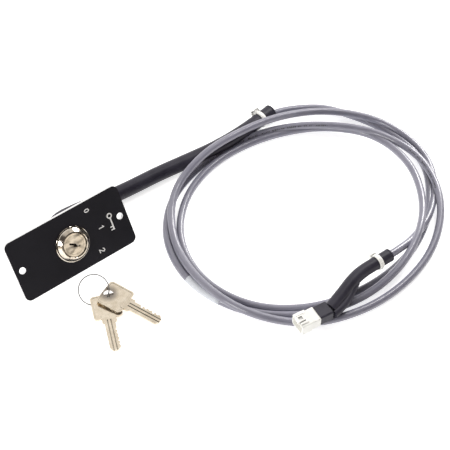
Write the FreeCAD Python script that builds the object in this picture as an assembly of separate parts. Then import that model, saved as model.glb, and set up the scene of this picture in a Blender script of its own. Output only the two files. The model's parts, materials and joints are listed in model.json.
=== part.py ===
"""Selector key switch: a keyed three-position switch on a face plate, with its cable, plug and keys.

Millimetres. +Z is up and the floor is Z = 0. +X runs along the plate's long side, towards its legend.
The plate leans back on the switch body. Everything fixed to the plate is first made in the plate's own
frame: x along the plate, y up its face, z straight out of its painted face, with the lock's axis at 0, 0.
"""
import FreeCAD, Part
import math
import os

from FreeCAD import Vector as V

# Face plate
PLATE_LENGTH = 101.6
PLATE_WIDTH = 50.8
PLATE_THICKNESS = 3.2
PLATE_CORNER = 4.8
SCREW_SPACING = 88.9
SCREW_HOLE_R = 2.75
PLATE_LEAN = 60.0                # degrees up from the floor
MARK_HEIGHT = 0.12
MARK_STROKE = 0.75

# Lock: a 3/4 inch barrel held by a dress nut in front and a hexagon nut behind
LOCK_X = 0.0
LOCK_Y = -0.9
BARREL_R = 9.5
BARREL_FACE_Z = 4.4
BARREL_REAR_Z = -12.5
THREAD_PITCH = 1.27
THREAD_DEPTH = 0.5
NUT_BORE_R = BARREL_R + 0.05
DRESS_NUT_R = 14.3
DRESS_NUT_RIM_R = 10.5
DRESS_NUT_HEIGHT = 5.0
PLUG_R = 7.0
PLUG_HEAD_R = 7.6
PLUG_HEAD_DEPTH = 1.0
RUNNING_GAP = 0.05
KEYWAY_ANGLE = -30.0             # degrees from the plate's long side, at rest on position 2
INDEX_ANGLE = 30.0
WAFER_FIRST_Z = -2.6
WAFER_PITCH = 2.0
WAFER_COUNT = 5
WAFER_THICKNESS = 1.0
SHUTTER_PIN_Y = -1.45
SHUTTER_PIN_Z = 2.65
SHUTTER_PIN_R = 0.35
WASHER_REAR_Z = -3.9
BACK_NUT_ACROSS = 23.0
BACK_NUT_HEIGHT = 3.5

# Switch body behind the plate
HOUSING_R = 11.5
HOUSING_FRONT_Z = -9.0
HOUSING_REAR_Z = -22.0
CAVITY_R = 7.0
CAVITY_FRONT_Z = -13.6
ROTOR_R = 6.6
ROTOR_REAR_Z = -20.0
BALL_R = 1.0
BALL_CENTRE_R = ROTOR_R + BALL_R + 0.05
BALL_Z = -18.4
COVER_REAR_Z = -24.0
SPIGOT_R = 4.9
SPIGOT_END_Z = -29.0
CONTACT_CIRCLE_R = 2.6
CONTACT_ANGLES = (90, 210, 330)

# Cable and its sleeves
CABLE_D = 6.2
SLEEVE_D = 12.7
TAIL_D = 10.4
BRANCH_D = 6.6
TIE_THICKNESS = 1.0
COIL_CENTRE = (175.0, -72.0)
COIL_OUTER = (127.0, 110.0)      # semi-axes
COIL_INNER = (98.0, 79.0)
COIL_TURN = 4.0                  # degrees
COIL_HEIGHT = 18.6
LABEL_CENTRE = (61.0, -87.0)
LABEL_HEADING = -81.0
LABEL_LENGTH = 32.0
LABEL_THICKNESS = 0.25

# Plug-in connector on the tail
CONNECTOR_CENTRE = (101.5, -160.5, 11.9)
CONNECTOR_HEADING = 172.0
CONNECTOR_SIZE = (16.5, 14.0, 10.6)
CONNECTOR_WALL = 1.2
MATING_ROOM = 14.0               # kept clear in front of the mouth
BOOT_SIZE = (11.0, 12.4, 9.6)

# Keys on their ring
RING_R = 11.7
RING_WIRE_R = 0.4
RING_TILT = 35.0
RING_LOW_HEADING = -128.0
RING_CENTRE = (-6.1, -36.6)
KEY_THICKNESS = 1.8
KEY_HOLE_R = 3.8
BOW_LENGTH = 21.5
BOW_WIDTH = 22.0
BOW_CORNER = 2.6
HOLE_FROM_BOW_END = 4.6
BLADE_WIDTH = 8.2
BLADE_LENGTH = 25.4
SHOULDER_LENGTH = 4.0
SHOULDER_WIDTH = 11.0
KEY_CUTS = (0.8, 1.4, 0.5, 1.1, 1.6)
KEY_A_TURN = 75.0                # where each key hangs on the ring, in degrees from its lowest point
KEY_A_HEADING = -67.6
KEY_A_DIP = 4.9                  # degrees from bow down to blade tip
KEY_B_TURN = 47.0
KEY_B_HEADING = -113.6
KEY_B_DIP = 1.8

# The floor point under the middle of the plate's painted face, before the origin is moved
ORIGIN = V(0.0, -31.47, 0.0)
PLATE_MIDDLE_HEIGHT = (PLATE_WIDTH / 2 * math.sin(math.radians(PLATE_LEAN))
                       + PLATE_THICKNESS * math.cos(math.radians(PLATE_LEAN)))

Z_AXIS = V(0, 0, 1)


def box(low, high):
    """A block between two corners."""
    size = V(*high) - V(*low)
    return Part.makeBox(size.x, size.y, size.z, V(*low))


def rod(radius, z_low, z_high, x=0.0, y=0.0):
    """A cylinder along z."""
    return Part.makeCylinder(radius, z_high - z_low, V(x, y, z_low), Z_AXIS)


def pipe(outer_r, inner_r, z_low, z_high, x=0.0, y=0.0):
    """A tube along z."""
    return rod(outer_r, z_low, z_high, x, y).cut(rod(inner_r, z_low - 1, z_high + 1, x, y))


def turned(profile):
    """A solid turned about z from (radius, z) points."""
    points = [V(r, 0, z) for r, z in profile]
    face = Part.Face(Part.makePolygon(points + points[:1]))
    return face.revolve(V(0, 0, 0), Z_AXIS, 360)


def prism(points, z_low, height):
    """A solid of a flat outline."""
    corners = [V(x, y, z_low) for x, y in points]
    return Part.Face(Part.makePolygon(corners + corners[:1])).extrude(V(0, 0, height))


def rounded_plate(length, width, corner, z_low, height):
    """A plate with round corners, centred on z."""
    block = box((-length / 2, -width / 2, z_low), (length / 2, width / 2, z_low + height))
    upright = [edge for edge in block.Edges if abs(edge.tangentAt(edge.FirstParameter).z) > 0.99]
    return block.makeFillet(corner, upright)


def moved(shape, offset):
    """A copy moved by an offset."""
    copy = shape.copy()
    copy.translate(V(*offset))
    return copy


def turned_by(shape, degrees, axis=Z_AXIS, centre=V(0, 0, 0)):
    """A copy turned about an axis."""
    copy = shape.copy()
    copy.rotate(centre, axis, degrees)
    return copy


def group(shapes):
    """Separate solids in one node."""
    return Part.makeCompound(shapes)


def around(shape, count):
    """Copies spaced evenly about z."""
    return [turned_by(shape, 360.0 * i / count) for i in range(count)]


def on_lock(shape):
    """From the lock's frame to the plate's frame."""
    return moved(shape, (LOCK_X, LOCK_Y, 0))


def in_plug(shape):
    """From the plug's frame, x along the keyway, to the plate's frame."""
    return on_lock(turned_by(shape, KEYWAY_ANGLE))


def seated(shape):
    """From the plate's frame to its place, leaning back on the floor."""
    copy = turned_by(shape, PLATE_LEAN, V(1, 0, 0))
    copy.translate(V(0, 0, PLATE_MIDDLE_HEIGHT) - ORIGIN)
    return copy


def laid(shape):
    """From the floor under the plate's middle to the part's origin."""
    return moved(shape, -ORIGIN)


# ---------------------------------------------------------------- face plate

def face_plate():
    plate = rounded_plate(PLATE_LENGTH, PLATE_WIDTH, PLATE_CORNER, -PLATE_THICKNESS, PLATE_THICKNESS)
    plate = plate.cut(rod(BARREL_R + 0.1, -5, 5, LOCK_X, LOCK_Y))
    for side in (-1, 1):
        plate = plate.cut(rod(SCREW_HOLE_R, -5, 5, side * SCREW_SPACING / 2))
    return plate


def stroke(start, end, width=MARK_STROKE):
    """A straight painted line with round ends."""
    a = V(start[0], start[1], 0)
    b = V(end[0], end[1], 0)
    run = b - a
    bar = box((0, -width / 2, 0), (run.Length, width / 2, MARK_HEIGHT))
    bar = turned_by(bar, math.degrees(math.atan2(run.y, run.x)))
    bar.translate(a)
    ends = [rod(width / 2, 0, MARK_HEIGHT, p.x, p.y) for p in (a, b)]
    return bar.fuse(ends).removeSplitter()


def numeral(lines, place):
    """Strokes of one numeral, drawn with its top towards +x, at a place on the plate."""
    solid = stroke(*lines[0])
    if len(lines) > 1:
        solid = solid.fuse([stroke(*line) for line in lines[1:]]).removeSplitter()
    return moved(solid, (LOCK_X + place[0], LOCK_Y + place[1], 0))


def zero_mark(place):
    oval = Part.Ellipse(V(0, 0, 0), 2.2, 1.5)
    inner = Part.Ellipse(V(0, 0, 0), 2.2 - MARK_STROKE, 1.5 - MARK_STROKE)
    solid = Part.Face(Part.Wire(oval.toShape())).cut(Part.Face(Part.Wire(inner.toShape())))
    solid = solid.extrude(V(0, 0, MARK_HEIGHT))
    return moved(solid, (LOCK_X + place[0], LOCK_Y + place[1], 0))


def key_symbol(place):
    """A plain key outline, lying across the plate."""
    bow = pipe(2.3, 1.35, 0, MARK_HEIGHT, 0, 5.2)
    shank = stroke((0, 3.2), (0, -6.6), 1.1)
    teeth = [stroke((0, y), (-2.2, y), 1.0) for y in (-3.9, -6.4)]
    return moved(bow.fuse([shank] + teeth).removeSplitter(), (LOCK_X + place[0], LOCK_Y + place[1], 0))


def legend_marks():
    one = [((-2.1, 0), (2.1, 0)), ((2.1, 0), (1.2, 1.0))]
    two = [((1.3, 1.3), (2.1, 0.5)), ((2.1, 0.5), (2.1, -0.5)), ((2.1, -0.5), (1.1, -1.3)),
           ((1.1, -1.3), (-2.1, 1.3)), ((-2.1, 1.3), (-2.1, -1.3))]
    return group([zero_mark((20.6, 18.6)), numeral(one, (26.8, 0.0)), numeral(two, (20.4, -17.2)),
                  key_symbol((36.3, 0.3))])


# ---------------------------------------------------------------- lock

def dress_nut():
    rim = DRESS_NUT_RIM_R
    body = turned([(NUT_BORE_R, 0), (DRESS_NUT_R - 0.2, 0), (DRESS_NUT_R, 0.2), (DRESS_NUT_R, 1.1),
                   (DRESS_NUT_R - 0.5, 1.5), (DRESS_NUT_R - 0.9, 1.6), (DRESS_NUT_R - 1.2, 2.1),
                   (rim + 0.5, DRESS_NUT_HEIGHT - 0.25), (rim, DRESS_NUT_HEIGHT),
                   (NUT_BORE_R + 0.35, DRESS_NUT_HEIGHT), (NUT_BORE_R, DRESS_NUT_HEIGHT - 0.35)])
    return on_lock(body)


def lock_barrel():
    thread = [(BARREL_R - THREAD_DEPTH, BARREL_REAR_Z)]
    turns = int((2.0 - BARREL_REAR_Z) / THREAD_PITCH)
    for i in range(turns):
        z = BARREL_REAR_Z + i * THREAD_PITCH
        thread.append((BARREL_R, z + 0.5 * THREAD_PITCH))
        thread.append((BARREL_R - THREAD_DEPTH, z + THREAD_PITCH))
    top = BARREL_REAR_Z + turns * THREAD_PITCH
    bore = PLUG_R + RUNNING_GAP
    head_bore = PLUG_HEAD_R + RUNNING_GAP
    shoulder_z = BARREL_FACE_Z - PLUG_HEAD_DEPTH - RUNNING_GAP
    thread += [(BARREL_R, top + 0.4), (BARREL_R, BARREL_FACE_Z - 0.3), (BARREL_R - 0.3, BARREL_FACE_Z),
               (head_bore, BARREL_FACE_Z), (head_bore, shoulder_z), (bore, shoulder_z), (bore, BARREL_REAR_Z)]
    return on_lock(turned(thread))


def keyway_slot(z_low, z_high):
    """The stepped slot that the key's blade slides into."""
    upper = box((-4.8, -0.3, z_low), (0.8, 1.3, z_high))
    lower = box((-0.8, -1.3, z_low), (4.8, 0.5, z_high))
    return upper.fuse(lower)


def wafer_z(index):
    return WAFER_FIRST_Z - index * WAFER_PITCH


def lock_plug():
    plug = rod(PLUG_R, BARREL_REAR_Z, BARREL_FACE_Z - PLUG_HEAD_DEPTH)
    plug = plug.fuse(rod(PLUG_HEAD_R, BARREL_FACE_Z - PLUG_HEAD_DEPTH, BARREL_FACE_Z))
    plug = plug.fuse(rod(2.5, -14.6, BARREL_REAR_Z))
    plug = plug.removeSplitter()
    plug = plug.cut(keyway_slot(-11.6, BARREL_FACE_Z + 1))
    plug = plug.cut(box((-5.2, -2.2, -1.5), (5.2, 2.1, BARREL_FACE_Z - 1.1)))
    pin_end = 5.9
    pin_start = V(-pin_end, SHUTTER_PIN_Y, SHUTTER_PIN_Z)
    plug = plug.cut(Part.makeCylinder(SHUTTER_PIN_R, 2 * pin_end, pin_start, V(1, 0, 0)))
    for i in range(WAFER_COUNT):
        z = wafer_z(i)
        half = WAFER_THICKNESS / 2 + RUNNING_GAP
        plug = plug.cut(box((-6.3, -2.65, z - half), (6.4, 2.65, z + half)))
    plug = plug.cut(rod(1.25, -14.7, -11.7))
    return in_plug(plug)


def wafer(index):
    z = wafer_z(index)
    half = WAFER_THICKNESS / 2
    plate = box((-6.2, -2.6, z - half), (5.0, 2.6, z + half))
    bite = 0.25 * ((index * 2) % 3)
    window = box((-4.9 + bite, -1.5, z - 1), (3.9, 1.5, z + 1))
    return in_plug(plate.cut(window))


def wafer_springs():
    springs = []
    for i in range(WAFER_COUNT):
        z = wafer_z(i)
        springs.append(in_plug(Part.makeCylinder(0.42, 1.35, V(5.02, 0, z), V(1, 0, 0))))
    return group(springs)


def shutter_pin():
    return in_plug(Part.makeCylinder(SHUTTER_PIN_R, 11.6, V(-5.8, SHUTTER_PIN_Y, SHUTTER_PIN_Z), V(1, 0, 0)))


def dust_shutter():
    leaf = box((-4.95, SHUTTER_PIN_Y, SHUTTER_PIN_Z - 0.25), (4.95, 1.75, SHUTTER_PIN_Z + 0.25))
    knuckle = Part.makeCylinder(0.6, 9.9, V(-4.95, SHUTTER_PIN_Y, SHUTTER_PIN_Z), V(1, 0, 0))
    bore = Part.makeCylinder(SHUTTER_PIN_R + RUNNING_GAP, 12, V(-6, SHUTTER_PIN_Y, SHUTTER_PIN_Z), V(1, 0, 0))
    return in_plug(leaf.fuse(knuckle).cut(bore))


def plug_clip():
    return on_lock(pipe(8.4, 2.55, -13.35, BARREL_REAR_Z - 0.06))


def drive_tail():
    bar = box((-5.8, -3.6, -14.6), (5.8, 3.6, -13.4)).common(rod(5.8, -15, -13))
    return in_plug(bar.cut(rod(2.55, -15, -13)))


def tail_screw():
    head = rod(2.7, -16.6, -14.65).cut(box((-3, -0.4, -17), (3, 0.4, -15.8)))
    return in_plug(head.fuse(rod(1.2, -14.65, -11.8)))


def tooth_washer():
    ring = pipe(11.6, NUT_BORE_R + 0.05, WASHER_REAR_Z, -PLATE_THICKNESS)
    tooth = box((11.2, -0.8, WASHER_REAR_Z), (12.6, 0.8, -PLATE_THICKNESS))
    return on_lock(ring.fuse(around(tooth, 16)).removeSplitter())


def back_nut():
    corner_r = BACK_NUT_ACROSS / math.sqrt(3)
    corners = []
    for i in range(6):
        corner = math.radians(60 * i)
        corners.append((corner_r * math.cos(corner), corner_r * math.sin(corner)))
    rear = WASHER_REAR_Z - BACK_NUT_HEIGHT
    nut = prism(corners, rear, BACK_NUT_HEIGHT)
    nut = nut.common(turned([(0, rear - 0.2), (12.4, rear - 0.2), (13.4, rear + 0.6), (13.4, 0), (0, 0)]))
    return on_lock(nut.cut(rod(NUT_BORE_R, -10, 0)))


# ---------------------------------------------------------------- switch body

def switch_housing():
    body = turned([(NUT_BORE_R, HOUSING_FRONT_Z), (HOUSING_R - 0.6, HOUSING_FRONT_Z),
                   (HOUSING_R, HOUSING_FRONT_Z - 0.6), (HOUSING_R, HOUSING_REAR_Z), (CAVITY_R, HOUSING_REAR_Z),
                   (CAVITY_R, CAVITY_FRONT_Z), (NUT_BORE_R, CAVITY_FRONT_Z)])
    for i in range(24):
        rib = rod(0.45, -20.5, -10.5, HOUSING_R + 0.12, 0)
        body = body.cut(turned_by(rib, 15 * i + 7.5))
    for side in (-1, 1):
        body = body.cut(rod(1.05, -23, -14.4, side * 9.2))
    channel = Part.makeCylinder(BALL_R + RUNNING_GAP, 4.2, V(0, 6.6, BALL_Z), V(0, 1, 0))
    return on_lock(body.cut(channel))


def rear_cover():
    disc = rod(HOUSING_R - 0.05, COVER_REAR_Z, HOUSING_REAR_Z)
    spigot = rod(SPIGOT_R, SPIGOT_END_Z, COVER_REAR_Z)
    cover = disc.fuse(spigot).cut(rod(SPIGOT_R - 0.9, SPIGOT_END_Z - 1, COVER_REAR_Z))
    for side in (-1, 1):
        cover = cover.cut(rod(1.3, -25, -21, side * 9.2))
    for angle in CONTACT_ANGLES:
        cover = cover.cut(turned_by(rod(0.8, -25, -21, CONTACT_CIRCLE_R), angle))
    return on_lock(cover)


def contact_rotor():
    rotor = rod(ROTOR_R, ROTOR_REAR_Z, -13.5)
    rotor = rotor.cut(box((-5.9, -3.7, -14.75), (5.9, 3.7, -13)).common(rod(5.9, -15, -12)))
    rotor = rotor.cut(rod(2.9, -17.2, -13))
    for step in range(3):
        notch = Part.makeSphere(BALL_R + 0.12, V(0, BALL_CENTRE_R - 0.5, BALL_Z))
        rotor = rotor.cut(turned_by(notch, -KEYWAY_ANGLE - step * INDEX_ANGLE))
    return in_plug(rotor)


def moving_contacts():
    bridge = box((-3.4, -0.9, -20.42), (3.4, 0.9, ROTOR_REAR_Z - 0.02))
    domes = [rod(0.6, -20.75, -20.4, side * CONTACT_CIRCLE_R) for side in (-1, 1)]
    return in_plug(bridge.fuse(domes))


def fixed_contacts():
    rivets = []
    for angle in CONTACT_ANGLES:
        shank = rod(0.75, -26.2, -21.6, CONTACT_CIRCLE_R)
        head = rod(1.1, -21.6, -21.0, CONTACT_CIRCLE_R)
        rivets.append(on_lock(turned_by(shank.fuse(head), angle)))
    return group(rivets)


def detent_ball():
    return on_lock(Part.makeSphere(BALL_R, V(0, BALL_CENTRE_R, BALL_Z)))


def detent_spring():
    start = BALL_CENTRE_R + BALL_R + 0.02
    return on_lock(Part.makeCylinder(0.85, 10.75 - start, V(0, start, BALL_Z), V(0, 1, 0)))


def housing_screws():
    screws = []
    for side in (-1, 1):
        head = rod(1.9, -25.2, COVER_REAR_Z, side * 9.2)
        head = head.cut(box((side * 9.2 - 3, -0.3, -26), (side * 9.2 + 3, 0.3, -24.7)))
        screws.append(on_lock(head.fuse(rod(1.0, COVER_REAR_Z, -14.6, side * 9.2))))
    return group(screws)


def switch_wires():
    wire = rod(0.8, -29.4, -26.25, CONTACT_CIRCLE_R)
    return group([on_lock(turned_by(wire, angle)) for angle in CONTACT_ANGLES])


# ---------------------------------------------------------------- sleeves and cable

def seated_point(x, y, z):
    """A point of the plate's frame, measured from the floor under the plate's middle."""
    lean = math.radians(PLATE_LEAN)
    return V(LOCK_X + x, (LOCK_Y + y) * math.cos(lean) - z * math.sin(lean),
             PLATE_MIDDLE_HEIGHT + (LOCK_Y + y) * math.sin(lean) + z * math.cos(lean))


def corner_radius(before, corner, after):
    """0.45 of the shorter run, divided by the tangent of half the turn."""
    first = corner - before
    second = after - corner
    half_turn = first.getAngle(second) / 2
    return 0.45 * min(first.Length, second.Length) / math.tan(half_turn)


def tube_along(points, diameter, name):
    """A tube along straight runs joined by tangent arcs."""
    edges = []
    start = points[0]
    radii = []
    for before, corner, after in zip(points, points[1:], points[2:]):
        radius = corner_radius(before, corner, after)
        radii.append(radius)
        into = (corner - before).normalize()
        out = (after - corner).normalize()
        reach = radius * math.tan(into.getAngle(out) / 2)
        arc_start = corner - into * reach
        arc_end = corner + out * reach
        middle_way = (out - into).normalize()
        centre = corner + middle_way * (radius / math.cos(into.getAngle(out) / 2))
        edges.append(Part.LineSegment(start, arc_start).toShape())
        edges.append(Part.Arc(arc_start, centre - middle_way * radius, arc_end).toShape())
        start = arc_end
    edges.append(Part.LineSegment(start, points[-1]).toShape())
    path = Part.Wire(edges)
    ring = Part.Wire(Part.Circle(points[0], points[1] - points[0], diameter / 2).toShape())
    tube = path.makePipeShell([ring], True, False)
    expected = math.pi * diameter ** 2 / 4 * path.Length
    print(name, "length %.1f" % path.Length, "volume ratio %.4f" % (tube.Volume / expected),
          "radii", " ".join("%.0f" % r for r in radii))
    return tube


def sleeve_route():
    """From the rear cover down to the floor, round to the right and under the coil."""
    height = SLEEVE_D / 2
    floor_points = [(11.4, 39.8), (25, 38.9), (42, 36.5), (60, 33.9), (80, 32.3), (103, 31.3), (130, 28.2),
                    (160, 25.2)]
    raised_points = [(193, 25.6), (222, 30.2)]
    exit_point = seated_point(0, 0, COVER_REAR_Z - 0.5)
    bend_points = [V(0, 28.6, height + 1.2), V(3.95, 35.5, height + 0.1)]
    route = [exit_point] + bend_points + [V(x, y, height) for x, y in floor_points]
    return route + [V(x, y, height + TIE_THICKNESS + 0.1) for x, y in raised_points]


def sleeve_main():
    tube = tube_along(sleeve_route(), SLEEVE_D, "sleeve_main")
    spigot_room = turned_by(on_lock(rod(SPIGOT_R + 0.02, -29.5, -20)), PLATE_LEAN, V(1, 0, 0))
    spigot_room.translate(V(0, 0, PLATE_MIDDLE_HEIGHT))
    return laid(tube.cut(spigot_room))


def tail_route():
    """From the cable's end, over the coil's near side, to the connector's boot."""
    return [V(189, -155.0, 17.6), V(176, -154.6, 17.6), V(162, -153.8, 17.3), V(150, -155.6, 16.4),
            V(137, -159.6, 14.6), V(122.2, -163.2, 12.6)]


def branch_route():
    """The short branch that leaves the boot beside the tail sleeve and joins it at its bend."""
    return [V(121.8, -168.0, 11.6), V(132, -167.2, 12.2), V(143, -162.8, 13.6), V(152.5, -157.4, 14.6)]


def tail_sleeve():
    return laid(tube_along(tail_route(), TAIL_D, "tail_sleeve"))


def tail_branch():
    return laid(tube_along(branch_route(), BRANCH_D, "tail_branch"))


def cable_coil():
    """The loose coil's outer shape, with room for the connector and boot that lie on it."""
    faces = []
    for semi_axes in (COIL_OUTER, COIL_INNER):
        oval = Part.Ellipse(V(0, 0, 0), semi_axes[0], semi_axes[1])
        faces.append(Part.Face(Part.Wire(oval.toShape())))
    ring = faces[0].cut(faces[1]).extrude(V(0, 0, COIL_HEIGHT))
    ring = ring.makeFillet(CABLE_D / 2, ring.Edges)
    ring = laid(moved(turned_by(ring, COIL_TURN), (COIL_CENTRE[0], COIL_CENTRE[1], 0)))
    length, width, height = CONNECTOR_SIZE
    room = box((-length / 2 - BOOT_SIZE[0] - 1, -width / 2 - 1.5, -height / 2 - 0.3),
               (length / 2 + MATING_ROOM, width / 2 + 1.5, 20))
    return ring.cut(on_connector(room))


def band(centre, heading, inner_r, width, thickness):
    """A band round a tube whose line points along a heading, in degrees from +X."""
    ring = pipe(inner_r + thickness, inner_r, -width / 2, width / 2)
    ring = turned_by(turned_by(ring, 90, V(0, 1, 0)), heading)
    return moved(ring, centre)


def zip_tie(centre, heading, inner_r, head_side):
    """A cable tie: its band, its square head and the trimmed tail."""
    along = V(math.cos(math.radians(heading)), math.sin(math.radians(heading)), 0)
    ring = band(centre, heading, inner_r, 3.6, TIE_THICKNESS)
    head = box((-2.4, inner_r - 0.6, -2.3), (2.4, inner_r + 3.2, 2.3))
    head = head.cut(box((-0.7, inner_r + 1.2, -3), (0.7, inner_r + 2.4, 3)))
    head = moved(turned_by(turned_by(head, head_side, V(1, 0, 0)), heading), centre)
    room = Part.makeCylinder(inner_r, 10, V(*centre) - along * 5, along)
    return laid(ring.fuse(head.cut(room)).removeSplitter())


def zip_tie_1():
    return zip_tie((208.5, 28.05, SLEEVE_D / 2 + TIE_THICKNESS + 0.1), 9.0, SLEEVE_D / 2 + 0.01, 55)


def zip_tie_2():
    return zip_tie((176.5, -154.6, 17.6), 178.0, TAIL_D / 2 + 0.01, -60)


def cable_label():
    """A paper wrap round the outermost strand on the coil's left."""
    inner_r = CABLE_D / 2 + 0.05
    centre = (LABEL_CENTRE[0], LABEL_CENTRE[1], inner_r + LABEL_THICKNESS + 0.05)
    return laid(band(centre, LABEL_HEADING, inner_r, LABEL_LENGTH, LABEL_THICKNESS))


# ---------------------------------------------------------------- connector

def on_connector(shape):
    """From the connector's frame, x out of its mouth, to its place."""
    copy = turned_by(shape, CONNECTOR_HEADING)
    copy.translate(V(*CONNECTOR_CENTRE) - ORIGIN)
    return copy


def connector_housing():
    length, width, height = CONNECTOR_SIZE
    front = length / 2
    shell = box((-1.0, -width / 2, -height / 2), (front, width / 2, height / 2))
    rear = box((-front, -width / 2 + 0.5, -height / 2 + 0.5), (-1.0, width / 2 - 0.5, height / 2 - 0.9))
    body = shell.fuse(rear).removeSplitter()
    long_edges = [e for e in body.Edges if abs(e.tangentAt(e.FirstParameter).x) > 0.99 and e.Length > 5]
    body = body.makeFillet(0.9, long_edges)
    mouth = box((0.5, -width / 2 + CONNECTOR_WALL, -height / 2 + CONNECTOR_WALL),
                (front + 1, width / 2 - CONNECTOR_WALL, height / 2 - CONNECTOR_WALL))
    body = body.cut(mouth)
    rails = [box((1.0, y - 0.7, height / 2 - 0.2), (front - 0.5, y + 0.7, height / 2 + 1.3))
             for y in (-4.1, 4.1)]
    latch = box((front - 5.5, -2.6, height / 2 - 0.2), (front + 1.2, 2.6, height / 2 + 2.2))
    latch = latch.cut(box((front - 4.0, -1.5, height / 2 + 0.9), (front - 0.6, 1.5, height / 2 + 3)))
    body = body.fuse(rails + [latch]).removeSplitter()
    for y, z in pin_places():
        body = body.cut(Part.makeCylinder(0.82, length + 2, V(-front - 1, y, z), V(1, 0, 0)))
    return on_connector(body)


def pin_places():
    return [(y, z) for y in (-3.0, 3.0) for z in (-1.9, 1.9)]


def connector_pins():
    pins = []
    for y, z in pin_places():
        pin = Part.makeCylinder(0.8, 9.4, V(-7.0, y, z), V(1, 0, 0))
        tip = Part.makeCone(0.8, 0.35, 1.2, V(2.4, y, z), V(1, 0, 0))
        pins.append(on_connector(pin.fuse(tip)))
    return group(pins)


def connector_boot():
    length, width, height = BOOT_SIZE
    start = -CONNECTOR_SIZE[0] / 2
    boot = box((start - length, -width / 2, -height / 2), (start - 0.05, width / 2, height / 2))
    long_edges = [e for e in boot.Edges if abs(e.tangentAt(e.FirstParameter).x) > 0.99]
    boot = boot.makeFillet(1.6, long_edges)
    for y, z in pin_places():
        boot = boot.cut(Part.makeCylinder(0.75, 6, V(start - 5, y, z), V(1, 0, 0)))
    return on_connector(boot)


def tail_wires():
    start = -CONNECTOR_SIZE[0] / 2 - 4.9
    wires = [Part.makeCylinder(0.7, 6.1, V(start, y, z), V(1, 0, 0)) for y, z in pin_places()]
    return group([on_connector(wire) for wire in wires])


# ---------------------------------------------------------------- keys

def ring_point(turn):
    """A point of the ring's wire, at an angle from its lowest point."""
    low = math.radians(RING_LOW_HEADING)
    tilt = math.radians(RING_TILT)
    to_low = V(math.cos(low) * math.cos(tilt), math.sin(low) * math.cos(tilt), -math.sin(tilt))
    side = V(-math.sin(low), math.cos(low), 0)
    centre = V(RING_CENTRE[0], RING_CENTRE[1], RING_WIRE_R + 0.05 + RING_R * math.sin(tilt))
    angle = math.radians(turn)
    return centre + to_low * (RING_R * math.cos(angle)) + side * (RING_R * math.sin(angle))


def key_ring():
    centre = (ring_point(0) + ring_point(180)) * 0.5
    normal = (ring_point(0) - centre).cross(ring_point(90) - centre)
    return laid(Part.makeTorus(RING_R, RING_WIRE_R, centre, normal))


def flat_key(cuts):
    """A key lying flat, its ring hole at 0, 0 and its blade along +x."""
    back = -HOLE_FROM_BOW_END
    half = KEY_THICKNESS / 2
    bow = rounded_plate(BOW_LENGTH, BOW_WIDTH, BOW_CORNER, -half, KEY_THICKNESS)
    panel = rounded_plate(BOW_LENGTH - 2.4, BOW_WIDTH - 2.4, BOW_CORNER - 1.0, half - 0.22, 1.0)
    key = moved(bow.cut(panel), (back + BOW_LENGTH / 2, 0, 0))
    neck = back + BOW_LENGTH
    shoulder = box((neck - 3.0, -SHOULDER_WIDTH / 2, -half), (neck + SHOULDER_LENGTH, SHOULDER_WIDTH / 2, half))
    key = key.fuse(shoulder)
    tip = neck + SHOULDER_LENGTH + BLADE_LENGTH
    w = BLADE_WIDTH / 2
    blade = [(neck, -w), (tip - 2.4, -w), (tip, -w + 2.2), (tip, w - 2.6), (tip - 2.2, w)]
    start = tip - 3.6
    for depth in cuts:
        blade += [(start, w), (start - 0.7, w - depth), (start - 1.6, w - depth), (start - 2.3, w)]
        start -= 3.4
    blade.append((neck, w))
    key = key.fuse(prism(blade, -half, KEY_THICKNESS)).removeSplitter()
    for y in (-1.5, 1.1):
        key = key.cut(box((neck + 1.5, y - 0.45, half - 0.55), (tip + 1, y + 0.45, half + 1)))
    key = key.cut(box((neck + 1.5, -0.5, -half - 1), (tip + 1, 0.5, -half + 0.5)))
    return key.cut(rod(KEY_HOLE_R, -2, 2))


def placed_key(key, hole, heading, dip):
    """Dips the blade below the bow, points it along a heading and puts its hole on the ring's wire."""
    key = turned_by(key, dip, V(0, 1, 0))
    key = turned_by(key, heading)
    return laid(moved(key, (hole.x, hole.y, hole.z)))


def key_a():
    return placed_key(flat_key(KEY_CUTS), ring_point(KEY_A_TURN), KEY_A_HEADING, KEY_A_DIP)


def key_b():
    return placed_key(flat_key(KEY_CUTS), ring_point(KEY_B_TURN), KEY_B_HEADING, KEY_B_DIP)


# ---------------------------------------------------------------- output

PLATE_NODES = (face_plate, legend_marks, dress_nut, lock_barrel, lock_plug, wafer_springs, shutter_pin,
               dust_shutter, plug_clip, drive_tail, tail_screw, tooth_washer, back_nut, switch_housing,
               rear_cover, contact_rotor, moving_contacts, fixed_contacts, detent_ball, detent_spring,
               housing_screws, switch_wires)
LAID_NODES = (key_ring, key_a, key_b)
CORD_NODES = (sleeve_main, zip_tie_1, cable_coil, cable_label, tail_sleeve, tail_branch, zip_tie_2,
              connector_boot, connector_housing, connector_pins, tail_wires)


def build():
    nodes = {}
    for make in PLATE_NODES:
        nodes[make.__name__] = seated(make())
    for i in range(WAFER_COUNT):
        nodes["wafer_%d" % (i + 1)] = seated(wafer(i))
    for make in LAID_NODES + CORD_NODES:
        nodes[make.__name__] = make()
    return nodes


def report(nodes):
    cord_names = [make.__name__ for make in CORD_NODES]
    switch = Part.makeCompound([shape for name, shape in nodes.items() if name not in cord_names])
    bounds = switch.BoundBox
    print("switch and keys X %.3f %.3f Y %.3f %.3f Z %.3f %.3f" % (
        bounds.XMin, bounds.XMax, bounds.YMin, bounds.YMax, bounds.ZMin, bounds.ZMax))
    for name, shape in nodes.items():
        if not shape.isValid():
            print("not valid", name)


os.makedirs("parts", exist_ok=True)
all_nodes = build()
report(all_nodes)
for node_name, node_shape in all_nodes.items():
    node_shape.exportStep("parts/%s.step" % node_name)
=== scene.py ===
"""Selector key switch: finishes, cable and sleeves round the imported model, with its camera and studio."""
import json
import math
import random

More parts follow.
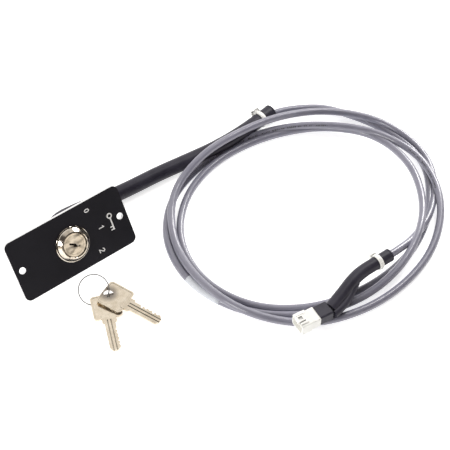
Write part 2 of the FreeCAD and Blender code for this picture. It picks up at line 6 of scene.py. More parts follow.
import bmesh
import bpy
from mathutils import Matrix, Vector

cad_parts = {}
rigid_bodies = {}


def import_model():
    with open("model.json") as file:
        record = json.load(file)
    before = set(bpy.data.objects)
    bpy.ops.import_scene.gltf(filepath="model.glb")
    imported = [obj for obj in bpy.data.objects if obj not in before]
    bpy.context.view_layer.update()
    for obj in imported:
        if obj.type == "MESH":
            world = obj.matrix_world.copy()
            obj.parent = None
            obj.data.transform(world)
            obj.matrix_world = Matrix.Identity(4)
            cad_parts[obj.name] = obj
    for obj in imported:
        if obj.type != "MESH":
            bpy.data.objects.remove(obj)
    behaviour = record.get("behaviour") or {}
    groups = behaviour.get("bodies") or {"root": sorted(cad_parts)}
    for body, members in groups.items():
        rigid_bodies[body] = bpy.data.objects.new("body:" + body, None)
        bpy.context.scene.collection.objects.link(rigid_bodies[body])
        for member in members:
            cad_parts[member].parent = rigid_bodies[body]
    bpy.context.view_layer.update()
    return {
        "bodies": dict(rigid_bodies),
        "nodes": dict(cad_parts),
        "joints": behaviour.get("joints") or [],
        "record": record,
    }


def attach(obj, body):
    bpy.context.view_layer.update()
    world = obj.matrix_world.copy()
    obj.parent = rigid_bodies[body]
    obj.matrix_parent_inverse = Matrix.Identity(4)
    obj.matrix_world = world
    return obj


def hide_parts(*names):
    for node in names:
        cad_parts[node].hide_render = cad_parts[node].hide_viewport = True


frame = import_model()

MM = 0.001
PLATE_MIDDLE_Y = 31.47           # mm along +Y from the row's origin to the floor under the plate's middle

SLEEVE_D = 12.7
TAIL_D = 10.4
BRANCH_D = 6.6
CABLE_D = 6.2


def at(x, y, z):
    """A point measured in mm from the floor under the plate's middle."""
    return Vector((x, y + PLATE_MIDDLE_Y, z)) * MM


# ---------------------------------------------------------------- camera

CAMERA_PLACE = (-0.26354, -0.50198, 0.74012)
CAMERA_AZIMUTH = -37.7
CAMERA_ELEVATION = 50.0
CAMERA_LENS = 96.0


def direction(azimuth, elevation):
    """The way from the object to a point round it; azimuth 0 is in front, at -Y."""
    a = math.radians(azimuth)
    e = math.radians(elevation)
    return Vector((math.sin(a) * math.cos(e), -math.cos(a) * math.cos(e), math.sin(e)))


def make_camera():
    data = bpy.data.cameras.new("camera")
    data.lens = CAMERA_LENS
    data.sensor_width = 36.0
    data.clip_start = 0.05
    data.clip_end = 20.0
    camera = bpy.data.objects.new("camera", data)
    bpy.context.scene.collection.objects.link(camera)
    camera.location = CAMERA_PLACE
    camera.rotation_mode = "QUATERNION"
    camera.rotation_quaternion = (-direction(CAMERA_AZIMUTH, CAMERA_ELEVATION)).to_track_quat("-Z", "Y")
    bpy.context.scene.camera = camera


make_camera()


# ---------------------------------------------------------------- materials

PLATE_NORMAL = (0.0, -0.866, 0.5)
LOCK_CENTRE = (0.0, 0.03102, 0.02315)
KEYWAY_WAY = (0.866, -0.25, -0.433)      # towards the right-hand end of the keyway
RING_HOLE = (0.0013, -0.0140, 0.0060)    # the middle of the upper key's ring hole
# Places from 0 to 1 over 15 mm from the lock's axis, with 0 for painted shade in the lock's grooves and joints
# and 1 for clean plating
LOCK_PAINTED_SHADE = ((0.0, 1.0), (0.495, 1.0), (0.505, 0.35), (0.515, 1.0), (0.615, 1.0), (0.635, 0.0), (0.665, 0.0),
              (0.69, 1.0), (0.86, 1.0), (0.885, 0.05), (0.915, 0.05), (0.935, 1.0))


class Finish:
    """A material under construction: its node tree, its shader and its object coordinates."""

    def __init__(self, name, **sockets):
        self.material = bpy.data.materials.new(name)
        self.material.use_nodes = True
        self.tree = self.material.node_tree
        self.shader = self.tree.nodes["Principled BSDF"]
        coordinates = self.tree.nodes.new("ShaderNodeTexCoord")
        self.place = coordinates.outputs["Object"]
        self.normal = coordinates.outputs["Normal"]
        for key, value in sockets.items():
            self.shader.inputs[key.replace("_", " ")].default_value = value

    def node(self, kind, **inputs):
        made = self.tree.nodes.new(kind)
        for key, value in inputs.items():
            socket = made.inputs[key.replace("_", " ")]
            if isinstance(value, bpy.types.NodeSocket):
                self.tree.links.new(value, socket)
            else:
                socket.default_value = value
        return made

    def noise(self, scale, detail=4.0, stretch=(1, 1, 1)):
        spread = self.node("ShaderNodeMapping", Vector=self.place, Scale=stretch)
        made = self.node("ShaderNodeTexNoise", Vector=spread.outputs[0], Scale=scale, Detail=detail)
        return made.outputs[0]

    def ramp(self, source, *stops):
        """Colours or grey levels at places from 0 to 1 along a source."""
        made = self.node("ShaderNodeValToRGB", Fac=source)
        elements = made.color_ramp.elements
        while len(elements) < len(stops):
            elements.new(0.5)
        for element, (place, colour) in zip(elements, stops):
            element.position = place
            element.color = (*colour, 1) if isinstance(colour, tuple) else (colour, colour, colour, 1)
        return made.outputs[0]

    def measure(self, operation, *vectors):
        """A vector operation on positions or directions, as its number."""
        made = self.tree.nodes.new("ShaderNodeVectorMath")
        made.operation = operation
        for socket, value in zip(made.inputs, vectors):
            if isinstance(value, bpy.types.NodeSocket):
                self.tree.links.new(value, socket)
            else:
                socket.default_value = value
        return made.outputs["Value"] if operation in ("LENGTH", "DOT_PRODUCT", "DISTANCE") else made.outputs[0]

    def scaled(self, source, low, high):
        """A number from 0 at low to 1 at high."""
        made = self.node("ShaderNodeMapRange", Value=source)
        made.inputs["From Min"].default_value = low
        made.inputs["From Max"].default_value = high
        return made.outputs[0]

    def open_sky(self, reach):
        """How open the surface is within a reach in mm: 1 on a free face, less in a groove or corner."""
        made = self.node("ShaderNodeAmbientOcclusion", Distance=reach * MM)
        made.samples = 8
        made.only_local = True
        return made.outputs["AO"]

    def mix(self, amount, first, second, mode="MIX"):
        made = self.tree.nodes.new("ShaderNodeMix")
        made.data_type = "RGBA"
        made.blend_type = mode
        for socket, value in zip((made.inputs[0], made.inputs[6], made.inputs[7]), (amount, first, second)):
            if isinstance(value, bpy.types.NodeSocket):
                self.tree.links.new(value, socket)
            elif isinstance(value, tuple):
                socket.default_value = (*value, 1)
            else:
                socket.default_value = value
        return made.outputs[2]

    def into(self, socket, source):
        self.tree.links.new(source, self.shader.inputs[socket])

    def bump(self, *layers):
        """Heights in metres, as (source, height) pairs, one bump over another."""
        normal = None
        for source, height in layers:
            made = self.node("ShaderNodeBump", Height=source, Distance=height, Strength=1.0)
            if normal is not None:
                self.tree.links.new(normal, made.inputs["Normal"])
            normal = made.outputs[0]
        self.into("Normal", normal)


def plate_paint():
    """Black paint on the faces, bare metal on the cut edges and in the holes."""
    f = Finish("plate_paint", Specular_IOR_Level=0.22)
    grain = f.noise(2600, 3)
    cloud = f.noise(45, 3)
    streaks = f.noise(300, 4, (0.3, 6, 6))
    facing = f.measure("LENGTH", f.measure("PROJECT", f.normal, PLATE_NORMAL))
    edge = f.ramp(facing, (0.45, 1.0), (0.55, 0.0))
    paint = f.ramp(cloud, (0.3, (0.0070, 0.0066, 0.0105)), (0.7, (0.0095, 0.0090, 0.0140)))
    metal = f.ramp(streaks, (0.3, (0.80, 0.80, 0.81)), (0.7, (0.92, 0.92, 0.93)))
    f.into("Base Color", f.mix(edge, paint, metal))
    f.into("Metallic", edge)
    f.into("Roughness", f.ramp(grain, (0.3, 0.42), (0.7, 0.55)))
    f.bump((grain, 0.00003))
    return f.material


def legend_ink():
    f = Finish("legend_ink", Specular_IOR_Level=0.3)
    f.into("Base Color", f.ramp(f.noise(900), (0.35, (0.74, 0.74, 0.73)), (0.65, (0.88, 0.88, 0.87))))
    f.into("Roughness", f.ramp(f.noise(1500), (0.3, 0.5), (0.7, 0.65)))
    return f.material


def polished_nickel():
    """Warm bright plating over metal that isn't quite flat, with painted shade in the grooves and joints of the
    lock.
    """
    f = Finish("polished_nickel", Metallic=1.0)
    cloud = f.noise(160, 4)
    waves = f.noise(130, 1)
    scratches = f.noise(420, 5, (1, 9, 1))
    plating = f.ramp(cloud, (0.3, (0.78, 0.70, 0.59)), (0.7, (0.88, 0.82, 0.73)))
    from_axis = f.measure("LENGTH", f.measure("CROSS_PRODUCT", f.measure("SUBTRACT", f.place, LOCK_CENTRE),
                                              PLATE_NORMAL))
    # painted shade: near-black rings at the radii of the lock's grooves and joints
    rings = f.ramp(f.scaled(from_axis, 0, 0.015), *LOCK_PAINTED_SHADE)
    f.into("Base Color", f.mix(rings, (0.035, 0.028, 0.022), plating))
    f.into("Roughness", f.ramp(scratches, (0.35, 0.07), (0.75, 0.17)))
    f.bump((waves, 0.0002), (scratches, 0.000004))
    return f.material


def shutter_steel():
    """Metal down in the keyway painted near-black as shade, with a painted highlight at one end."""
    f = Finish("shutter_steel", Metallic=1.0)
    along = f.measure("DOT_PRODUCT", f.measure("SUBTRACT", f.place, LOCK_CENTRE), KEYWAY_WAY)
    # painted shade: the shutter's colour is near-black so the keyway looks shaded
    keyway_painted_shade = f.ramp(f.noise(700, 4), (0.35, (0.012, 0.010, 0.009)), (0.65, (0.05, 0.042, 0.035)))
    # painted highlight: the shutter turns bright towards the keyway's right-hand end
    keyway_painted_glint = f.ramp(f.scaled(along, 0.0024, 0.0032), (0.0, 0.0), (1.0, 1.0))
    f.into("Base Color", f.mix(keyway_painted_glint, keyway_painted_shade, (0.80, 0.76, 0.70)))
    f.into("Roughness", f.ramp(f.noise(900), (0.3, 0.30), (0.7, 0.5)))
    return f.material


def key_nickel():
    """Satin plated brass: brushed along the blade, with painted shade in its grooves and round the ring hole."""
    f = Finish("key_nickel", Metallic=1.0)
    cloud = f.noise(220, 5)
    brushed = f.noise(500, 5, (6, 1, 3))
    wear = f.noise(90, 6)
    waves = f.noise(110, 1)
    plating = f.ramp(cloud, (0.3, (0.74, 0.65, 0.52)), (0.7, (0.88, 0.80, 0.67)))
    worn = f.mix(f.ramp(wear, (0.55, 0.0), (0.8, 0.45)), plating, (0.52, 0.45, 0.36))
    # painted shade: the plating darkens round the upper key's ring hole
    from_hole = f.scaled(f.measure("DISTANCE", f.place, RING_HOLE), 0.0036, 0.0085)
    worn_with_hole_shade = f.mix(f.ramp(from_hole, (0.0, 0.85), (0.4, 0.55), (1.0, 0.0)), worn, (0.20, 0.18, 0.17))
    # painted shade: dark brown wherever the key is hemmed in, in its grooves and corners
    groove_shade = f.ramp(f.open_sky(1.6), (0.35, 0.0), (0.86, 1.0))
    f.into("Base Color", f.mix(groove_shade, (0.045, 0.034, 0.026), worn_with_hole_shade))
    f.into("Roughness", f.ramp(brushed, (0.3, 0.14), (0.75, 0.26)))
    f.bump((waves, 0.00013), (brushed, 0.000012), (cloud, 0.000012))
    return f.material


def ring_wire():
    f = Finish("ring_wire", Metallic=1.0)
    f.into("Base Color", f.ramp(f.noise(400), (0.3, (0.20, 0.20, 0.20)), (0.7, (0.28, 0.28, 0.28))))
    f.into("Roughness", f.ramp(f.noise(1200, 4, (1, 1, 5)), (0.3, 0.55), (0.7, 0.7)))
    return f.material


def zinc_steel():
    f = Finish("zinc_steel", Metallic=1.0)
    f.into("Base Color", f.ramp(f.noise(300, 6), (0.3, (0.50, 0.51, 0.52)), (0.7, (0.66, 0.67, 0.68))))
    f.into("Roughness", f.ramp(f.noise(700, 5), (0.3, 0.28), (0.7, 0.45)))
    f.bump((f.noise(1800), 0.00001))
    return f.material


def contact_brass():
    f = Finish("contact_brass", Metallic=1.0)
    f.into("Base Color", f.ramp(f.noise(500, 5), (0.3, (0.62, 0.45, 0.20)), (0.7, (0.78, 0.60, 0.30))))
    f.into("Roughness", f.ramp(f.noise(900), (0.3, 0.22), (0.7, 0.38)))
    return f.material


def switch_plastic():
    f = Finish("switch_plastic", Specular_IOR_Level=0.45)
    grain = f.noise(3000, 2)
    f.into("Base Color", f.ramp(f.noise(120), (0.3, (0.011, 0.011, 0.012)), (0.7, (0.018, 0.018, 0.02))))
    f.into("Roughness", f.ramp(grain, (0.3, 0.38), (0.7, 0.5)))
    f.bump((grain, 0.00002))
    return f.material


def black_sleeve():
    """Soft black tubing, a little uneven, with a faint matt grain."""
    f = Finish("black_sleeve", Specular_IOR_Level=0.28)
    cloud = f.noise(70, 5)
    grain = f.noise(2200, 3)
    f.into("Base Color", f.ramp(cloud, (0.3, (0.027, 0.0252, 0.0375)), (0.7, (0.040, 0.0378, 0.054))))
    f.into("Roughness", f.ramp(cloud, (0.3, 0.34), (0.7, 0.46)))
    f.bump((grain, 0.000025), (cloud, 0.00014))
    return f.material


def grey_jacket():
    """Glossy grey cable jacket that shows the twist of its cores faintly."""
    f = Finish("grey_jacket", Specular_IOR_Level=0.5, Coat_Weight=0.7, Coat_Roughness=0.14)
    cloud = f.noise(38, 5)
    ripple = f.noise(230, 3)
    f.into("Base Color", f.ramp(cloud, (0.3, (0.200, 0.198, 0.256)), (0.7, (0.255, 0.253, 0.316))))
    f.into("Roughness", f.ramp(ripple, (0.3, 0.34), (0.7, 0.46)))
    f.bump((cloud, 0.0004), (ripple, 0.00004), (f.noise(2400, 2), 0.000006))
    return f.material


def jacket_print():
    f = Finish("jacket_print", Specular_IOR_Level=0.5)
    f.into("Base Color", f.ramp(f.noise(1500, 5), (0.35, (0.03, 0.03, 0.035)), (0.65, (0.09, 0.09, 0.10))))
    f.into("Roughness", f.ramp(f.noise(900), (0.3, 0.28), (0.7, 0.4)))
    return f.material


def white_nylon():
    """Moulded nylon with a faint painted glow, full tone on its open faces and grey with painted shade down in
    the connector's mouth.
    """
    # painted glow: a faint white emission brightens the nylon all over
    f = Finish("white_nylon", Specular_IOR_Level=0.4, Emission_Strength=0.08)
    f.shader.inputs["Emission Color"].default_value = (1.0, 1.0, 0.97, 1.0)
    tone = f.ramp(f.noise(200), (0.3, (0.86, 0.86, 0.83)), (0.7, (0.92, 0.92, 0.89)))
    # painted shade: the colour greys where the nylon is hemmed in, down in the connector's mouth
    shade = f.ramp(f.open_sky(5), (0.15, (0.16, 0.155, 0.145)), (0.55, (1, 1, 1)))
    f.into("Base Color", f.mix(1.0, tone, shade, "MULTIPLY"))
    f.into("Roughness", f.ramp(f.noise(1400, 3), (0.3, 0.32), (0.7, 0.45)))
    f.bump((f.noise(1600, 3), 0.000015))
    return f.material


def paper_label():
    f = Finish("paper_label", Specular_IOR_Level=0.3)
    fibre = f.noise(1500, 6, (1, 4, 1))
    f.into("Base Color", f.ramp(fibre, (0.3, (0.66, 0.69, 0.75)), (0.7, (0.74, 0.77, 0.83))))
    f.into("Roughness", f.ramp(fibre, (0.3, 0.48), (0.7, 0.62)))
    f.bump((fibre, 0.00002))
    return f.material


def wire_jacket():
    f = Finish("wire_jacket", Specular_IOR_Level=0.45)
    f.into("Base Color", f.ramp(f.noise(300), (0.3, (0.30, 0.02, 0.02)), (0.7, (0.38, 0.03, 0.025))))
    f.into("Roughness", f.ramp(f.noise(1200), (0.3, 0.35), (0.7, 0.45)))
    return f.material


FINISHES = {make.__name__: make() for make in (
    plate_paint, legend_ink, polished_nickel, key_nickel, ring_wire, zinc_steel, contact_brass, switch_plastic,
    black_sleeve, grey_jacket, white_nylon, paper_label, wire_jacket, shutter_steel, jacket_print)}

NODE_FINISH = {
    "plate_paint": ["face_plate"],
    "legend_ink": ["legend_marks"],
    "polished_nickel": ["dress_nut", "lock_barrel", "lock_plug"],
    "shutter_steel": ["dust_shutter"],
    "key_nickel": ["key_a", "key_b"],
    "ring_wire": ["key_ring"],
    "zinc_steel": ["tooth_washer", "back_nut", "detent_spring", "housing_screws", "shutter_pin", "plug_clip",
                   "drive_tail", "tail_screw", "wafer_springs", "detent_ball"],
    "contact_brass": ["fixed_contacts", "moving_contacts", "connector_pins"]
                     + ["wafer_%d" % n for n in range(1, 6)],
    "switch_plastic": ["switch_housing", "rear_cover", "contact_rotor"],
    "black_sleeve": ["sleeve_main", "tail_sleeve", "tail_branch", "connector_boot"],
    "grey_jacket": ["cable_coil"],
    "white_nylon": ["zip_tie_1", "zip_tie_2", "connector_housing"],
    "paper_label": ["cable_label"],
    "wire_jacket": ["switch_wires", "tail_wires"],
}


def finish_nodes():
    for finish, names in NODE_FINISH.items():
        for name in names:
            node = frame["nodes"][name]
            node.data.materials.clear()
            node.data.materials.append(FINISHES[finish])


finish_nodes()


# ---------------------------------------------------------------- cords

def cord_curve(name, points, diameter, finish):
    """A smooth tube with the points as its spline's control points."""
    data = bpy.data.curves.new(name, "CURVE")
    data.dimensions = "3D"
    data.bevel_depth = diameter * MM / 2
    data.bevel_resolution = 8
    data.resolution_u = 8
    data.use_fill_caps = True
    spline = data.splines.new("NURBS")
    spline.points.add(len(points) - 1)
    for control, point in zip(spline.points, points):
        control.co = (*point, 1)
    spline.order_u = 3
    spline.use_endpoint_u = True
    data.materials.append(FINISHES[finish])
    tube = bpy.data.objects.new(name, data)
    bpy.context.scene.collection.objects.link(tube)
    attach(tube, "switch")
    return tube


def line_of(tube):
    """The points down the middle of a cord's tube."""
    bare = bpy.data.objects.new("bare", tube.data.copy())
    bare.data.bevel_depth = 0
    mesh = bpy.data.meshes.new_from_object(bare)
    line = [v.co.copy() for v in mesh.vertices]
    bpy.data.meshes.remove(mesh)
    bpy.data.curves.remove(bare.data)
    return line


def length_of(line):
    return sum((b - a).length for a, b in zip(line, line[1:]))


# The main sleeve: out of the switch's rear cover, down to the floor and round to the right
SLEEVE_REST = SLEEVE_D / 2
SLEEVE_RAISED = SLEEVE_REST + 1.1
SLEEVE_ROUTE = [at(0, 20.77, 10.57), at(0, 28.6, SLEEVE_REST + 1.2), at(3.95, 35.5, SLEEVE_REST + 0.1)]
SLEEVE_ROUTE += [at(x, y, SLEEVE_REST) for x, y in (
    (11.4, 39.8), (25, 38.9), (42, 36.5), (60, 33.9), (80, 32.3), (103, 31.3), (130, 28.2), (160, 25.2))]
SLEEVE_ROUTE += [at(193, 25.6, SLEEVE_RAISED), at(222, 30.2, SLEEVE_RAISED)]

# The tail sleeve: from the cable's end, over the coil's near side, to the connector's boot
TAIL_ROUTE = [at(189, -155.0, 17.6), at(176, -154.6, 17.6), at(162, -153.8, 17.3), at(150, -155.6, 16.4),
              at(137, -159.6, 14.6), at(122.2, -163.2, 12.6)]
BRANCH_ROUTE = [at(121.8, -168.0, 11.6), at(132, -167.2, 12.2), at(143, -162.8, 13.6), at(152.5, -157.4, 14.6)]

# The cable: each step is an equal turn about the coil's middle, from the sleeve's end to the tail sleeve's
COIL_MIDDLE = (175.0, -72.0)
COIL_LONG = 112.0
COIL_SHORT = 94.0
COIL_TURNED = 4.0
COIL_START = 63.0
COIL_STEP = 24.0
SPLINE_SHRINK = 0.978            # how far inside its control points a turn of 15 steps runs
# mm outside (+) or inside (-) the mean oval, one for each step
COIL_OUTSETS = (
    13.5, 5.5, 5, -3, -4.5, -6, -6.5, -5, -4, -4.5, -3.5, -3.5, -4.5, -7.5, -9.5,
    -9, -9, -11, -10, -5, 0, 1, 1.5, 2.5, 4.5, 7.5, 7.5, 2, -1, -6,
    -12, -7.5, 1, 6, 8.5, 9, 10, 10, 6.5, 0, 1.5, 6.5, 1.5, -3.5, 0,
    6, 10, 10, 0.5, -6.5)
# mm from the floor to the cable's middle, one for each step
COIL_LEVELS = (
    3.5, 3.1, 3.1, 3.1, 3.1, 3.1, 3.1, 3.1, 3.1, 3.1, 3.1, 3.1, 3.1, 3.1, 3.1,
    4, 7, 9, 10.5, 15, 11, 4.5, 3.5, 3.5, 3.5, 3.5, 3.1, 3.1, 3.1, 6,
    9.5, 9.5, 9.5, 7.5, 3.5, 3.1, 3.1, 3.5, 9, 8.5, 6, 10, 15.5, 17, 14,
    9.5, 6.5, 3.5, 3.5, 9.5)


def coil_point(step, outset, level):
    angle = math.radians(COIL_START - COIL_STEP * step)
    turned = angle - math.radians(COIL_TURNED)
    mean = COIL_LONG * COIL_SHORT / math.hypot(COIL_SHORT * math.cos(turned), COIL_LONG * math.sin(turned))
    reach = (mean + outset) / SPLINE_SHRINK
    return at(COIL_MIDDLE[0] + reach * math.cos(angle), COIL_MIDDLE[1] + reach * math.sin(angle), level)


def cable_route():
    into_coil = [at(206, 27.6, SLEEVE_RAISED), at(222, 29.2, 7.0), coil_point(0.5, 13.5, 5)]
    turns = [coil_point(n + 1, outset, level)
             for n, (outset, level) in enumerate(zip(COIL_OUTSETS, COIL_LEVELS))]
    return into_coil + turns + [at(191, -155.6, 17.6), at(178, -154.7, 17.8)]


sleeve = cord_curve("sleeve_main_tube", SLEEVE_ROUTE, SLEEVE_D, "black_sleeve")
cable = cord_curve("cable", cable_route(), CABLE_D, "grey_jacket")
tail = cord_curve("tail_sleeve_tube", TAIL_ROUTE, TAIL_D, "black_sleeve")
branch = cord_curve("tail_branch_tube", BRANCH_ROUTE, BRANCH_D, "black_sleeve")
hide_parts("sleeve_main")
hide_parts("cable_coil")
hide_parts("tail_sleeve")
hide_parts("tail_branch")


# ---------------------------------------------------------------- pieces along the cords

def frames_of(line):
    """For each point of a line, the point, the way along, the way to its upper side and the way across."""
    frames = []
    for i, point in enumerate(line):
        along = (line[min(i + 1, len(line) - 1)] - line[max(i - 1, 0)]).normalized()
        across = along.cross(Vector((0, 0, 1))).normalized()
        frames.append((point, along, across.cross(along), across))
    return frames


def stretch_of(line, start, end):
    """The part of a line between two lengths along it, in mm, with its ends cut to length."""
    kept = []
    run = 0.0
    for a, b in zip(line, line[1:]):
        step = (b - a).length / MM
        for edge in (start, end):
            if run <= edge < run + step:
                kept.append(a.lerp(b, (edge - run) / step))
        run += step
        if start < run < end:
            kept.append(b)
    return kept


def nearest_length(line, place, after, before):
    """The length along a line, in mm and between two lengths, where it comes nearest to a place."""
    best = None
    run = 0.0
    for a, b in zip(line, line[1:]):
        run += (b - a).length / MM
        if after < run < before and (best is None or (b - place).length < best[0]):
            best = ((b - place).length, run)
    return best[1]


def add_piece(name, mesh, finish):
    mesh.materials.append(FINISHES[finish])
    for face in mesh.polygons:
        face.use_smooth = True
    piece = bpy.data.objects.new(name, mesh)
    bpy.context.scene.collection.objects.link(piece)
    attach(piece, "switch")
    return piece


def rings_mesh(name, rings, joined=False):
    """A skin over rings of points; joined closes the last ring to the first."""
    mesh = bpy.data.meshes.new(name)
    count = len(rings[0])
    faces = []
    last = len(rings) if joined else len(rings) - 1
    for i in range(last):
        a = i * count
        b = (i + 1) % len(rings) * count
        faces += [(a + j, a + (j + 1) % count, b + (j + 1) % count, b + j) for j in range(count)]
    mesh.from_pydata([point for ring in rings for point in ring], [], faces)
    mesh.update()
    return mesh


def ring_at(frame, radius, shift=0.0, count=40):
    point, along, upward, across = frame
    middle = point + along * shift * MM
    angles = [2 * math.pi * j / count for j in range(count)]
    return [middle + (upward * math.cos(angle) + across * math.sin(angle)) * radius * MM for angle in angles]


def sleeve_mouth(name, tube, at_start, outer_r, wall):
    """The open end of a sleeve: a rounded lip that turns in to the cable."""
    line = line_of(tube)
    end = frames_of(line[::-1] if at_start else line)[-1]
    inner_r = outer_r - wall
    profile = ((outer_r + 0.02, -1.2), (outer_r + 0.03, 0.0), (outer_r - 0.12, 0.32), (outer_r - wall / 2, 0.45),
               (inner_r + 0.12, 0.3), (inner_r, 0.02), (inner_r, -1.2))
    rings = [ring_at(end, radius, shift) for radius, shift in profile]
    return add_piece(name, rings_mesh(name, rings, joined=True), "black_sleeve")


def wrap(name, line, middle, length, radius, thickness, finish):
    """A wrap round a cord, following its line: its outer skin, its ends and the inner skin on the cord."""
    frames = frames_of(stretch_of(line, middle - length / 2, middle + length / 2))
    rings = [ring_at(frame, radius + thickness) for frame in frames]
    rings += [ring_at(frame, radius - 0.02) for frame in frames[::-1]]
    return add_piece(name, rings_mesh(name, rings, joined=True), finish)


# A printed dash is a thin bar from just inside the jacket to just outside, on two rings of six points
PRINT_TOP = CABLE_D / 2 + 0.025
PRINT_FOOT = CABLE_D / 2 - 0.1
DASH_FACES = [(j, (j + 1) % 6, (j + 1) % 6 + 6, j + 6) for j in range(6)]
DASH_FACES += [(5, 4, 3, 2, 1, 0), (6, 7, 8, 9, 10, 11)]


def printed_dashes(name, line, start, end, side):
    """Short ink marks in groups along a jacket, as plain bars with no letters in them."""
    dice = random.Random(7)
    points = []
    faces = []
    run = start
    while run < end:
        for _ in range(dice.randint(4, 9)):
            width = dice.choice((0.5, 0.8, 1.2))
            height = dice.choice((0.9, 1.4, 1.4))
            first, last = [frames_of(stretch_of(line, run + shift - 0.4, run + shift + 0.4))[1]
                           for shift in (0.0, width)]
            base = len(points)
            for point, along, upward, across in (first, last):
                for turn, radius in ((-0.5, PRINT_TOP), (0, PRINT_TOP), (0.5, PRINT_TOP),
                                     (0.5, PRINT_FOOT), (0, PRINT_FOOT), (-0.5, PRINT_FOOT)):
                    angle = math.radians(side) + turn * height / (CABLE_D / 2)
                    out = upward * math.cos(angle) + across * math.sin(angle)
                    points.append(point + out * radius * MM)
            faces += [tuple(base + i for i in corners) for corners in DASH_FACES]
            run += width + 0.55
        run += dice.choice((2.0, 3.5))
    mesh = bpy.data.meshes.new(name)
    mesh.from_pydata(points, [], faces)
    mesh.update()
    return add_piece(name, mesh, "jacket_print")


TIE_WIDTH = 3.5
TIE_RIBS = 96                    # places round the strap, ribbed and plain in turn


def cable_tie(name, tube, length, radius, head_turn, tail_turn, tail_length):
    """A nylon tie: a ribbed strap round the sleeve, its ratchet head and the trimmed tail.

    The turns are degrees from the sleeve's upper side; lengths are in mm.
    """
    point, along, upward, across = frames_of(stretch_of(line_of(tube), length - 1, length + 1))[1]
    half = TIE_WIDTH / 2
    strap = bmesh.new()
    rings = []
    for j in range(TIE_RIBS):
        angle = 2 * math.pi * j / TIE_RIBS
        out = upward * math.cos(angle) + across * math.sin(angle)
        rib = 0.12 if j % 2 else 0.0
        rings.append([point + along * x * MM + out * (radius + height) * MM for x, height in (
            (-half, 0.0), (-half, 0.85), (-half + 0.5, 1.0 + rib), (half - 0.5, 1.0 + rib), (half, 0.85),
            (half, 0.0))])
    mesh = rings_mesh(name, rings, joined=True)
    strap.from_mesh(mesh)

    def block(low, high, turn, bevel):
        """A bevelled block; x runs along the sleeve, y round it and z out from its surface."""
        angle = math.radians(turn)
        out = upward * math.cos(angle) + across * math.sin(angle)
        round_way = along.cross(out)
        made = bmesh.ops.create_cube(strap, size=1.0)
        corners = made["verts"]
        for vert in corners:
            x, y, z = [lo + (c + 0.5) * (hi - lo) for lo, hi, c in zip(low, high, vert.co)]
            vert.co = point + (along * x + round_way * y + out * z) * MM
        edges = list({edge for vert in corners for edge in vert.link_edges})
        bmesh.ops.bevel(strap, geom=edges, offset=bevel * MM, segments=3, affect="EDGES", profile=0.6)

    block((-2.4, -2.3, radius - 0.2), (2.4, 2.3, radius + 3.2), head_turn, 0.5)
    block((-1.6, -1.0, radius + 0.9), (1.6, tail_length, radius + 1.9), tail_turn, 0.25)
    strap.to_mesh(mesh)
    strap.free()
    return add_piece(name, mesh, "white_nylon")


LABEL_LENGTH = 33.0
LABEL_THICKNESS = 0.25
TIE_1_FROM_END = 14.0            # mm from the main sleeve's open end
TIE_2_FROM_END = 12.6            # mm from the tail sleeve's open end

cable_line = line_of(cable)

label_middle = nearest_length(cable_line, at(61, -87, 3.4), 900, 1500)
label = wrap("label_wrap", cable_line, label_middle, LABEL_LENGTH, CABLE_D / 2, LABEL_THICKNESS, "paper_label")
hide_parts("cable_label")
top_print = nearest_length(cable_line, at(185, 22, 3.1), 1050, 1450)
prints = [printed_dashes("top_print", cable_line, top_print - 48, top_print + 70, 52),
          printed_dashes("side_print", cable_line, top_print + 150, top_print + 200, 40)]
main_mouth = sleeve_mouth("sleeve_mouth", sleeve, False, SLEEVE_D / 2, 1.1)
tail_mouth = sleeve_mouth("tail_mouth", tail, True, TAIL_D / 2, 0.9)
tie_1_place = length_of(line_of(sleeve)) / MM - TIE_1_FROM_END
tie_1 = cable_tie("sleeve_tie", sleeve, tie_1_place, SLEEVE_D / 2, -50, -115, 5)
tie_2 = cable_tie("tail_tie", tail, TIE_2_FROM_END, TAIL_D / 2, 92, 60, 3)
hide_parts("zip_tie_1")
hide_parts("zip_tie_2")


# ---------------------------------------------------------------- studio

FLOOR_SIDE = 8.0


def make_floor():
    mesh = bpy.data.meshes.new("floor")
    half = FLOOR_SIDE / 2
    corners = [(-half, -half, 0), (half, -half, 0), (half, half, 0), (-half, half, 0)]
    mesh.from_pydata(corners, [], [(0, 1, 2, 3)])
    floor = bpy.data.objects.new("floor", mesh)
    bpy.context.scene.collection.objects.link(floor)
    f = Finish("floor", Specular_IOR_Level=0.1, Roughness=0.9, Emission_Strength=0.68)
    f.shader.inputs["Emission Color"].default_value = (1, 1, 1, 1)
    f.into("Base Color", f.ramp(f.noise(3), (0.3, 0.80), (0.7, 0.83)))
    mesh.materials.append(f.material)


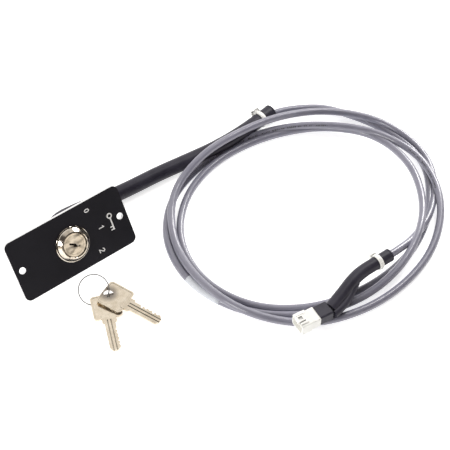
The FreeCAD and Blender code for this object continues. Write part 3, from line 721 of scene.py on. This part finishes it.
def softbox(name, azimuth, elevation, distance, size, energy, colour):
    data = bpy.data.lights.new(name, "AREA")
    data.shape = "RECTANGLE"
    data.size, data.size_y = size
    data.energy = energy
    data.color = colour
    light = bpy.data.objects.new(name, data)
    bpy.context.scene.collection.objects.link(light)
    target = Vector((0.12, -0.02, 0.0))
    way = direction(azimuth, elevation)
    light.location = target + way * distance
    light.rotation_mode = "QUATERNION"
    light.rotation_quaternion = (-way).to_track_quat("-Z", "Y")


def make_world():
    """A studio round the floor: a bright wall behind, and in front a warm band low down under darkness."""
    world = bpy.data.worlds.new("studio")
    world.use_nodes = True
    tree = world.node_tree
    coordinates = tree.nodes.new("ShaderNodeTexCoord")
    split = tree.nodes.new("ShaderNodeSeparateXYZ")
    tree.links.new(coordinates.outputs["Generated"], split.inputs[0])

    def ramp(source, *stops):
        made = tree.nodes.new("ShaderNodeValToRGB")
        tree.links.new(source, made.inputs["Fac"])
        elements = made.color_ramp.elements
        while len(elements) < len(stops):
            elements.new(0.5)
        for element, (place, colour) in zip(elements, stops):
            element.position = place
            element.color = (*colour, 1)
        return made.outputs[0]

    front = ramp(split.outputs["Z"], (0.0, (1.0, 0.92, 0.80)), (0.10, (1.0, 0.92, 0.80)),
                 (0.145, (0.05, 0.04, 0.035)), (0.90, (0.07, 0.06, 0.055)), (0.96, (0.62, 0.58, 0.54)))
    back = ramp(split.outputs["Z"], (0.0, (0.9, 0.88, 0.85)), (0.2, (1.0, 0.98, 0.95)),
                (0.86, (1.0, 0.97, 0.93)), (0.93, (0.62, 0.58, 0.54)))
    between = ramp(split.outputs["Y"], (0.26, (0, 0, 0)), (0.36, (1, 1, 1)))
    mix = tree.nodes.new("ShaderNodeMix")
    mix.data_type = "RGBA"
    for source, socket in ((between, 0), (front, 6), (back, 7)):
        tree.links.new(source, mix.inputs[socket])
    background = tree.nodes["Background"]
    tree.links.new(mix.outputs[2], background.inputs["Color"])
    background.inputs["Strength"].default_value = 1.0
    bpy.context.scene.world = world


make_floor()
softbox("right_light", 106, 32, 1.3, (0.5, 0.6), 13.0, (1.0, 0.99, 0.98))
softbox("top_light", 100, 60, 1.3, (0.22, 0.22), 2.5, (1.0, 0.99, 0.98))
softbox("left_light", -82, 28, 1.2, (0.45, 0.5), 6.0, (1.0, 0.99, 0.97))
make_world()
bpy.context.scene.view_settings.view_transform = "Standard"
